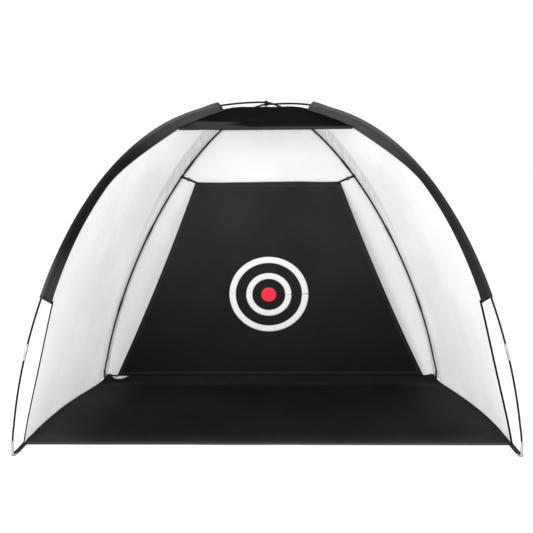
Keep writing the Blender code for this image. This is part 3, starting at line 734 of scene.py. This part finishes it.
def make_feet():
    for end, x, y, floor_v, finish in (
        ("front", FRONT_FOOT_X, -FOOT_Y, EDGE_V, silver),
        ("rear", REAR_FOOT_X, FOOT_Y, FLOOR_REAR_V, dark_metal),
    ):
        for label, side in SIDES:
            foot = Vector((side * x, y, 0))
            corner = shell_side(0, floor_v, side)
            corner.x -= side * FLOOR_INSET
            towards = (corner - foot).normalized()
            turned(f"tip_{end}_{label}", f"pole_tip_{end}_{label}", TIP_PROFILE, foot, finish)
            make_ring(f"{end}_{label}", foot, towards)
            make_corner_strap(end, label, foot, corner, towards)


def make_ring(label, foot, towards):
    slope = math.atan2(RING_RISE, 2 * RING_R)
    outwards = towards * math.cos(slope) + UP * math.sin(slope)
    centre = foot + UP * RING_WIRE_R + outwards * RING_R
    line = arc(centre, outwards, UP.cross(towards), RING_R, [7.5 * k for k in range(49)])
    body = f"foot_ring_{label}"
    tube(f"ring_{label}", body, line, RING_WIRE_R, wire_metal, body, 16, closed=True)
    turned(f"pin_{label}", body, PIN_PROFILE, foot, wire_metal, body, 24)


def make_corner_strap(end, label, foot, corner, towards):
    """Webbing from the floor's corner, round the ring's far side and sewn back on itself."""
    reach = (corner - foot).length + 0.006
    far, wire_z = 2 * RING_R, RING_WIRE_R + RING_RISE
    profile = [(reach, 0.0032), (reach - 0.006, 0.0012), (far + 0.022, 0.0007), (far + 0.006, 0.0007)]
    for k in range(11):
        turn = math.radians(-80 - 20 * k)
        profile.append((far + 0.0001 + 0.0047 * math.cos(turn), wire_z + 0.0004 + 0.0031 * math.sin(turn)))
    sewn_end = far + (0.036 if end == "front" else 0.026)
    profile += [(far + 0.008, 0.0036), (far + 0.013, 0.0021), (far + 0.022, 0.0020), (sewn_end, 0.0020)]
    points = [foot + towards * a + UP * b for a, b in profile]
    widths = [0.0043 + 0.0177 * smooth((a - far - 0.005) / 0.008) for a, _ in profile]
    name, node = f"corner_webbing_{end}_{label}", f"corner_strap_{end}_{label}"
    ribbon(name, node, points, UP.cross(towards), widths)


def make_crossing_tie():
    """A webbing band round both poles where they cross, with its end sewn on behind."""
    centre = Vector((0, CROSS_Y, CROSS_Z))
    half_y, half_z, corner = 0.0088, 0.0108, 0.0034
    points = []
    for step in range(4):
        y = (half_y - corner) * (1 if step in (0, 3) else -1)
        z = (half_z - corner) * (1 if step in (0, 1) else -1)
        degrees = [90 * step + part for part in range(0, 91, 15)]
        points += arc(centre + Vector((0, y, z)), BACKWARDS, UP, corner, degrees)
    points.append(points[0].copy())
    points.append(centre + Vector((0, half_y + 0.0009, half_z - 0.006)))
    points += [centre + Vector((0, half_y + 0.0012, z)) for z in (0.004, -0.002, -0.008)]
    widths = [0.0135] * (len(points) - 3) + [0.0125] * 3
    ribbon("crossing_band", "crossing_tie", points, RIGHT, widths)


make_pole("a", -1, CROSS_LIFT)
make_pole("b", 1, -CROSS_LIFT)
make_feet()
make_crossing_tie()


# -------------------- front sleeves


def roof_point(across, along):
    """A point on the roof panel: across from -1 to 1, and along from -1 at its front edge to 1 at its rear."""
    share = (CROSS_Y - ROOF_FRONT.y) / (ROOF_REAR.y - ROOF_FRONT.y)
    middle_x = ROOF_FRONT.x + (ROOF_REAR.x - ROOF_FRONT.x) * share
    end = ROOF_FRONT if along < 0 else ROOF_REAR
    half = middle_x + (end.x - middle_x) * abs(along)
    y = CROSS_Y + (end.y - CROSS_Y) * abs(along)
    out = max(abs(across), abs(along))
    fullness = 1.35 + 1.9 * smooth(-along / 0.4)
    return Vector((half * across, y, ROOF_EDGE_Z + ROOF_RISE * (1 - out**fullness) + 0.0035 * (1 - out**4)))


def sleeve_inner_edge(u, side):
    """Where the front sleeve's inner edge runs: down the net, and over the roof above its front corner."""
    z = front_pole(u, side).z
    bend_z = ROOF_EDGE_Z + 0.002
    if z < bend_z:
        return shell_side(z - 0.03 * max(0, 1 - (z - SLEEVE_LOW_Z) / 0.5), sleeve_v(z), side)
    bend_at = shell_side(bend_z, sleeve_v(bend_z), side) - UP * 0.003
    top = Vector((side * 0.171, -0.024, 1.351))
    return top.lerp(bend_at, (u - SLEEVE_TOP_U) / (front_u(bend_z) - SLEEVE_TOP_U))


def make_front_sleeve(label, side):
    """A band of cloth that goes round the pole and back to its own seam, which leaves a tunnel for the pole."""
    stations, turns, band_columns = 110, 14, 8
    touch = math.acos(TUNNEL_R / SEAM)
    rows = []
    for i in range(stations + 1):
        share = i / stations
        u = SLEEVE_TOP_U + (SLEEVE_BOTTOM_U - SLEEVE_TOP_U) * share
        centre = front_pole(u, side)
        tangent = (front_pole(u + 0.004, side) - front_pole(u - 0.004, side)).normalized()
        inwards = sleeve_inner_edge(u, side) - centre
        slant = tangent * inwards.dot(tangent)
        inwards -= slant
        width = inwards.length
        inwards.normalize()
        up = inwards.cross(tangent) * -side
        puff = 1 + 0.07 * ripple(centre, 9, 1)
        flare = 1.3 * smooth((SLEEVE_TOP_U + 0.09 - u) / 0.09)
        flat = [(SEAM + 0.003, -0.0011), (SEAM, -0.0008), (0.75 * SEAM, -0.0019)]
        for k in range(turns + 1):
            turn = -touch - (2 * math.pi - 2 * touch) * k / turns
            loose = puff + flare * max(0, -math.cos(turn))
            flat.append((TUNNEL_R * loose * math.cos(turn), TUNNEL_R * puff * math.sin(turn)))
        flat += [(0.75 * SEAM, 0.0020), (SEAM, 0.0002)]
        for k in range(1, band_columns + 1):
            a = SEAM + (width - SEAM) * k / band_columns
            wave = 0.0016 * ripple(centre + inwards * a, 11, 2) + 0.0012 * ripple(centre + inwards * a, 26, 3)
            flat.append((a, 0.0006 + wave * smooth((width - a) / 0.012 + 0.15)))
        slant += tangent * 0.015 * smooth((share - 0.7) / 0.3)
        rows.append([centre + inwards * a + up * b + slant * (a / width) for a, b in flat])
    name, node, seam = f"sleeve_front_{label}", f"front_sleeve_{label}", -1 - band_columns
    made = sheet_of_rows(name, node, rows, sleeve_cloths[label], middle=-5, zero=-1, seam=seam)
    thicken(made, CLOTH_THICK)


for label, side in SIDES:
    make_front_sleeve(label, side)


# -------------------- side nets, back net and rear sleeves


def rear_band(z):
    """The rear sleeve's width beside the pole, wider towards the roof."""
    return 0.06 + 0.06 * smooth((z - 0.45) / 0.6)


def side_net_point(a, b, side):
    z = 0.003 + (ROOF_EDGE_Z - 0.003) * b
    front = net_edge_v(z) + 0.0005
    width = (rear_pole(rear_u(z), side) - front_pole(front_u(z), side)).length
    rear = 1 - (rear_band(z) - 0.006) / width
    v = front + (rear - front) * a
    place = shell_side(z, v, side)
    outwards = Vector((side * 0.86, -0.3, 0.35)).normalized()
    free = smooth(a / 0.12) * smooth((1 - a) / 0.12)
    billow = 0.004 * ripple(place, 2.6, 4) + 0.002 * ripple(place, 7.0, 5)
    low = smooth((0.16 - z) / 0.16)
    gather = 0.0035 * low * math.sin(38 * v + 2.0 * math.sin(9 * v)) * smooth(z / 0.03)
    return place + outwards * (billow + gather) * free


def make_side_net(label, side):
    name, node = f"mesh_side_{label}", f"side_net_{label}"
    made = cloth(name, node, 60, 96, lambda a, b: side_net_point(a, b, side), white_mesh)


def make_rear_sleeve(label, side):
    """Doubled mesh round the outside of the rear pole: its tunnel carries the pole between back net and side net."""
    stations, wrap_columns, band_columns = 110, 9, 12
    rows = []
    for i in range(stations + 1):
        z = REAR_SLEEVE_TOP_Z + (REAR_SLEEVE_LOW_Z - REAR_SLEEVE_TOP_Z) * i / stations
        u = rear_u(z)
        centre = rear_pole(u, side)
        upright = min(1, max(0, 2 - z / TIP_TOP_Z))
        to_foot = Vector((side * REAR_FOOT_X - centre.x, FOOT_Y - centre.y, 0)) * upright
        centre += to_foot
        tangent = (rear_pole(min(u + 0.002, 1), side) - rear_pole(u - 0.002, side)).normalized()
        to_back = square_to(tangent, RIGHT * -side)
        to_side = square_to(tangent, shell_side(z, 0.9, side) - shell_side(z, 1, side))
        back_out = facing(tangent.cross(to_back), BACKWARDS)
        side_out = facing(tangent.cross(to_side), RIGHT * side)
        crease = 0.0008 + 0.0016 * smooth((z - 0.75) / 0.3)
        gather = smooth((z - 0.7) / 0.35)
        slack = crease * ripple(Vector((z * 26, i * 0.02, side * 3)), 1.0, 6) * smooth((z - 0.04) / 0.06)
        wider = 0.0005 * smooth((0.1 - z) / 0.05)
        reach = REAR_TUNNEL_R + wider + slack * 0.5
        row = []
        for inwards, share, lift in ((0.0095, 1, -0.001), (0.0065, 0.7, 0), (0.0035, 0.35, 0)):
            row.append(centre + back_out * (reach + lift) + to_back * inwards - to_foot * share)
        for k in range(wrap_columns):
            row.append(centre + back_out.lerp(side_out, k / (wrap_columns - 1)).normalized() * reach)
        width = (centre - front_pole(front_u(z), side)).length
        for k in range(1, band_columns + 1):
            out = rear_band(z) * k / band_columns
            free = math.sin(math.pi * k / band_columns)
            fold = crease * ripple(Vector((z * 30 + 150 * out, k * 0.4, side)), 1.0, 7) * free
            wave = 2 * math.pi * (z + 0.9 * out) / 0.022 + 3 * ripple(centre, 12, 19)
            fold += 0.0026 * gather * math.sin(wave) * free
            lift = 0.0076 * smooth((0.045 - out) / 0.035) + 0.0014
            near = 1 - k / band_columns
            place = shell_side(z, 1 - out / width, side) + to_foot * near
            row.append(place + side_out * (lift + fold + wider * near))
        rows.append(row)
    made = sheet_of_rows(f"sleeve_rear_{label}", f"rear_sleeve_{label}", rows, sleeve_mesh, middle=3)


def make_back_net():
    def surface(a, b):
        z = 0.003 + (ROOF_EDGE_Z - 0.006) * b
        edge = rear_pole(rear_u(z), 1)
        x = (edge.x - 0.006) * (2 * a - 1)
        free = smooth(a / 0.1) * smooth((1 - a) / 0.1)
        flat = Vector((x, z, 0))
        billow = 0.003 * ripple(flat, 2.4, 8) + 0.0015 * ripple(flat, 8.0, 9)
        return Vector((x, edge.y + 0.0085 + free * (billow - 0.001), z))

    made = cloth("mesh_back", "back_net", 72, 84, surface, shaded_back_mesh)


def make_binding(label, side):
    count = 40
    heights = [0.006 + (SLEEVE_LOW_Z - 0.036) * i / count for i in range(count + 1)]
    points = [shell_side(z, net_edge_v(z), side) for z in heights]
    across = points[0] - shell_side(heights[0], 0.3, side)
    radius = 0.0042 if side < 0 else 0.0066
    name, node = f"binding_{label}", f"net_binding_{label}"
    tube(name, node, points, radius, binding_cloth, segments=16, flat=0.6, towards=across)


for label, side in SIDES:
    make_side_net(label, side)
    make_rear_sleeve(label, side)
    make_binding(label, side)
make_back_net()


# -------------------- roof


def make_roof():
    def surface(a, b):
        across, along = 2 * a - 1, 2 * b - 1
        place = roof_point(across, along)
        out = max(abs(across), abs(along))
        edge = smooth((out - 0.9) / 0.1)
        if along < 0 and abs(along) >= abs(across):
            slope = 1 - abs(along)
            folds = math.sin(46 * slope + 2.6 * ripple(place, 5, 10)) * math.exp(-3.2 * slope)
            place.z -= 0.0022 * (1 + folds) * smooth(slope / 0.08)
        place.z -= 0.003 * (1 - edge) * (0.5 + 0.5 * ripple(place, 9, 11))
        if out > 0.985:
            place.z -= 0.006
        return place

    made = cloth("roof_cap", "roof_panel", 72, 56, surface, roof_cloth, thickness=CLOTH_THICK)


def hem_line(half, y, z, count, aside, scale, seed):
    """Points along an edge from left to right, a little wavy towards aside."""
    points = []
    for i in range(count + 1):
        x = half * (2 * i / count - 1)
        points.append(Vector((x, y, z)) + aside * ripple(RIGHT * x, scale, seed))
    return points


def make_header_hem():
    y, z = ROOF_FRONT.y - 0.0025, ROOF_EDGE_Z - 0.0035
    points = hem_line(ROOF_FRONT.x - 0.002, y, z, 60, UP * 0.0009, 7, 12)
    tube("roof_front_hem", "header_hem", points, 0.0062, roof_hem_cloth, segments=18, flat=0.42, towards=UP)


make_roof()
make_header_hem()


# -------------------- floor


def floor_point(across, b):
    """A point on the floor cloth: across from -1 to 1, and b from 0 at its front hem to 1 at its raised rear edge,
    which dips next to its left corner."""
    edge = shell_side(0, EDGE_V + (FLOOR_REAR_V - EDGE_V) * b, 1)
    back = FLOOR_BACK * b**6 * (1 - abs(across) ** 8)
    place = Vector(((edge.x - 0.001) * across, edge.y + back, 0.0008))
    inside = smooth((1 - abs(across)) / 0.08)
    wrinkle = 0.5 + 0.5 * ripple(place, 4.2, 13)
    fine = 0.5 + 0.5 * ripple(place, 15, 14)
    place.z += (0.0016 * wrinkle + 0.0007 * fine) * inside * smooth(b / 0.03)
    rise = 0.035 + 0.003 * ripple(RIGHT * place.x, 3.0, 18)
    lip = smooth((b - 0.93) / 0.07)
    dip = smooth((across + 0.95) / 0.04) * smooth((-0.81 - across) / 0.08)
    place.z += rise * lip * smooth((1 - abs(across)) / 0.03) * (1 - 0.6 * dip)
    place.z += 0.004 * smooth((abs(across) - 0.985) / 0.015) * smooth(b / 0.05)
    return place


def make_floor():
    made = cloth(
        "floor_cloth", "floor_sheet", 120, 72, lambda a, b: floor_point(2 * a - 1, b), floor_cloth,
        thickness=FLOOR_THICK,
    )


def make_floor_hem():
    corner = shell_side(0, EDGE_V, 1)
    points = hem_line(corner.x - 0.012, corner.y - 0.0055, 0.004, 90, BACKWARDS * 0.0018, 3.1, 15)
    tube("floor_hem", "floor_front_hem", points, 0.0068, hem_cloth, flat=0.55, towards=BACKWARDS)


make_floor()
make_floor_hem()


# -------------------- target


def target_surface(across, down, lift=0.0):
    """A point on the hanging sheet with its hollows and folds, or that far in front of it."""
    place = target_point(across, down)
    free = math.sin(math.pi * min(1, max(0, down))) * math.cos(math.pi / 2 * min(1, abs(across)))
    relief = -0.007 * free
    relief += 0.0035 * ripple(Vector((place.x, 0, place.z)), 2.4, 16) * (0.35 + 0.65 * free)
    relief += 0.0012 * ripple(Vector((place.x * 0.6, 0, place.z)), 9.0, 17)
    pull = smooth((0.2 - down) / 0.2)
    relief += 0.0022 * pull * math.sin(30 * abs(place.x) + 7 * down) * smooth((1.0 - abs(across)) / 0.3)
    place += SHEET_OUT * (relief + lift)
    top = smooth((0.06 - down) / 0.06)
    place += SHEET_UP * 0.0016 * top * math.sin(11 * place.x + 0.6) * smooth((1 - abs(across)) / 0.2)
    return place


def make_target_sheet():
    def surface(a, b):
        return target_surface(2 * a - 1, 1 - b)

    made = cloth("target_cloth", "target_sheet", 84, 72, surface, target_cloth, "target", FLOOR_THICK)


def mark_point(x, y, lift):
    """A point x across and y up from the middle of the rings, on the sheet."""
    down = (TARGET_TOP.z - MARK_CENTRE_Z) / (TARGET_TOP.z - TARGET_BOTTOM.z) - y / SHEET_LENGTH
    half = target_point(1, down).x
    return target_surface(x / half, down, lift)


def make_mark(name, inner, outer, finish):
    """A ring sewn on the sheet, or a disc where inner is 0."""
    rings, steps, lift = 6, 120, 0.0017
    start = max(inner, 0.0004)
    verts, weave, edges = [], [], []
    for j in range(rings + 1):
        radius = start + (outer - start) * j / rings
        rim = outer - radius if inner == 0 else min(outer - radius, radius - inner)
        for k in range(steps + 1):
            turn = 2 * math.pi * k / steps
            verts.append(mark_point(radius * math.cos(turn), radius * math.sin(turn), lift))
            weave.append((radius, turn * outer))
            edges.append((rim, turn * outer))
    faces = grid_faces(steps, rings)
    made = piece(name, f"target_{name}", verts, faces, finish, "target", cloth=weave, edges=edges)
    thicken(made, CLOTH_THICK)


make_target_sheet()
make_mark("ring_outer", 0.165, 0.197, white_sewn)
make_mark("ring_inner", 0.082, 0.113, white_sewn)
make_mark("bullseye", 0.0, 0.0375, red_sewn)


# -------------------- target straps


def strap_ends(level, side):
    """Where a strap starts at its pole, and the sheet's corner that it goes to."""
    if level == "upper":
        return rear_pole(rear_u(HANGER_Z), side), target_point(side, 0)
    return Vector((side * REAR_FOOT_X, FOOT_Y, TARGET_BOTTOM.z - 0.003)), target_point(side, 1)


def make_upper_strap(label, side):
    """Webbing looped round the rear pole, doubled as far as the slider, then single to the sheet's corner."""
    pole, corner = strap_ends("upper", side)
    u = rear_u(HANGER_Z)
    tangent = (rear_pole(u - 0.01, side) - rear_pole(u + 0.01, side)).normalized()
    along = (corner - pole).normalized()
    outwards = square_to(tangent, along)
    beside = tangent.cross(outwards).normalized()
    loop = arc(pole, outwards, beside, STRAP_LOOP_R, [35 + 290 * k / 18 for k in range(19)])
    near, tail = pole + along * 0.0135, pole + along * ADJUSTER_AT
    aside = facing(SHEET_UP.cross(along).normalized(), beside)
    points = [tail + aside * 0.0008 - along * 0.004, near + aside * 0.0008] + loop
    points += [near - aside * 0.0005, tail - aside * 0.0005, tail.lerp(corner, 0.5) - aside * 0.0003]
    points += [corner + SHEET_OUT * 0.0012, corner - SHEET_UP * 0.012 - RIGHT * side * 0.016 + SHEET_OUT * 0.0016]
    directions = [SHEET_UP] * 2 + [tangent] * len(loop) + [SHEET_UP] * 4 + [SHEET_UP * 2.2 - RIGHT * side]
    widths = [STRAP_WIDTH] * (len(points) - 1) + [STRAP_END_WIDTH]
    nodes = f"target_strap_upper_{label} strap_collar_{label}"
    made = ribbon(f"rear_strap_upper_{label}", nodes, points, directions, widths, None)
    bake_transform(made)


def make_lower_strap(label, side):
    """Webbing sewn round the hook's eye, doubled as far as the slider, then single to the sheet's corner."""
    pole, corner = strap_ends("lower", side)
    along = (corner - pole).normalized()
    start, tail = pole + along * HOOK_EYE_FAR, pole + along * ADJUSTER_AT
    points = [tail - along * 0.004 + SHEET_OUT * 0.0011, start + along * 0.0027 + SHEET_OUT * 0.001]
    points += arc(start, along, SHEET_OUT, 0.0019, [70 + 220 * k / 8 for k in range(9)])
    points += [start + along * 0.0027 - SHEET_OUT * 0.0006, tail - SHEET_OUT * 0.0004, tail.lerp(corner, 0.5)]
    points += [corner + SHEET_OUT * 0.0012, corner + SHEET_UP * 0.014 - RIGHT * side * 0.018 + SHEET_OUT * 0.0016]
    directions = [SHEET_SLOPE] * (len(points) - 1) + [SHEET_SLOPE + RIGHT * side * 0.5]
    widths = [STRAP_WIDTH] * len(points)
    ribbon(f"rear_strap_lower_{label}", f"target_strap_lower_{label}", points, directions, widths, "target")
    make_hook(label, side, pole, along)


def make_hook(label, side, pole, along):
    """A wire hook round the pole's tip, with a closed eye for the strap."""
    front = side * UP.cross(along)
    eye = 0.0019
    line = arc(pole + along * (HOOK_EYE_FAR - eye), along, front, eye, [150 - 40 * k for k in range(9)])
    for reach, degrees in ((0.0086, [25]), (0.0082, [50]), (0.0078, [75 + 7.5 * k for k in range(23)])):
        line += arc(pole, along, front, reach, degrees)
    tube(f"hook_{label}", f"strap_hook_{label}", line, 0.0012, wire_metal, "target", 14)


def make_adjusters():
    for level in ("upper", "lower"):
        for label, side in SIDES:
            pole, corner = strap_ends(level, side)
            along = (corner - pole).normalized()
            across = square_to(along, SHEET_UP)
            matrix = Matrix((across, along.cross(across), along)).transposed().to_4x4()
            matrix.translation = pole + along * ADJUSTER_AT
            slider(f"slider_{level}_{label}", f"strap_adjuster_{level}_{label}", matrix)


for label, side in SIDES:
    make_upper_strap(label, side)
    make_lower_strap(label, side)
make_adjusters()


# -------------------- camera, ground and light


def add_camera():
    data = bpy.data.cameras.new("camera")
    data.lens = 52.7
    data.sensor_width = 36
    camera = in_scene("camera", data)
    yaw, pitch, roll = math.radians(1.261), math.radians(-8.831), math.radians(0.386)
    turn = Matrix.Rotation(yaw, 4, "Z") @ Matrix.Rotation(pitch, 4, "X") @ Matrix.Rotation(roll, 4, "Y")
    upright = Matrix.Rotation(math.radians(90), 4, "X")
    camera.matrix_world = Matrix.Translation((0.0734, -3.4162, 1.2091)) @ turn @ upright
    bpy.context.scene.camera = camera


def add_stage():
    half = 40
    mesh = bpy.data.meshes.new("ground")
    mesh.from_pydata([(-half, -half, 0), (half, -half, 0), (half, half, 0), (-half, half, 0)], [], [(0, 1, 2, 3)])
    ground = in_scene("ground", mesh)
    ground.location.z = -0.0004
    finish = Finish("ground", None, 0.9, specular=0.1)
    finish.set("Base Color", finish.mix(finish.noise(1.5), 0.93, 0.95))
    mesh.materials.append(finish.material)


def add_light(name, place, aim, size, energy):
    data = bpy.data.lights.new(name, "AREA")
    data.shape = "DISK"
    data.size = size
    data.energy = energy
    light = in_scene(name, data)
    light.location = place
    light.rotation_euler = (Vector(aim) - Vector(place)).to_track_quat("-Z", "Y").to_euler()


def add_lights():
    world = bpy.data.worlds.new("studio")
    world.use_nodes = True
    background = world.node_tree.nodes["Background"].inputs
    background["Color"].default_value = (1, 1, 1, 1)
    background["Strength"].default_value = 1.06
    bpy.context.scene.world = world
    add_light("key", (-2.4, -4.4, 2.0), (0.1, 0.2, 0.6), 2.6, 190)
    add_light("fill", (3.2, -3.0, 1.8), (0.0, 0.1, 0.6), 2.2, 60)
    bpy.context.scene.view_settings.view_transform = "Standard"


add_camera()
add_stage()
add_lights()
